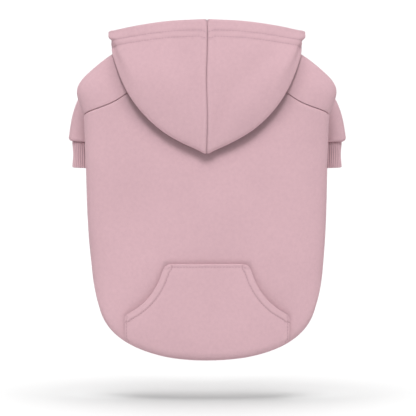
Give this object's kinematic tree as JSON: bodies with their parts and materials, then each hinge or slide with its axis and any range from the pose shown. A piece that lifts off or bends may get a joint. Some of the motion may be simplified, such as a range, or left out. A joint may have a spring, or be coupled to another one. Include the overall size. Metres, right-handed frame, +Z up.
{
  "type": "dog hoodie",
  "caption": "Pet hoodie hung open as if worn: rounded back panel, short raglan sleeves with ribbed cuffs, hood down on the back, pouch pocket, short belly panel.",
  "frame": {"origin": "middle of the neck opening, level with the nape end of the hood seam", "axes": "+Z up along the body towards the neck, +Y from the back panel towards the belly, +X to the right when the back is seen"},
  "size_m": [0.2892, 0.1363, 0.3483],
  "materials": {
    "fleece": "matt brushed knit in dusty pink",
    "ribbing": "matt rib knit, a little darker than the fleece"
  },
  "bodies": {
    "root": {"back_panel": "fleece", "belly_panel": "fleece", "sleeve_left": "fleece", "sleeve_right": "fleece", "cuff_left": "ribbing", "cuff_right": "ribbing", "hood_left": "fleece", "hood_right": "fleece", "pocket": "fleece"}
  },
  "joints": []
}
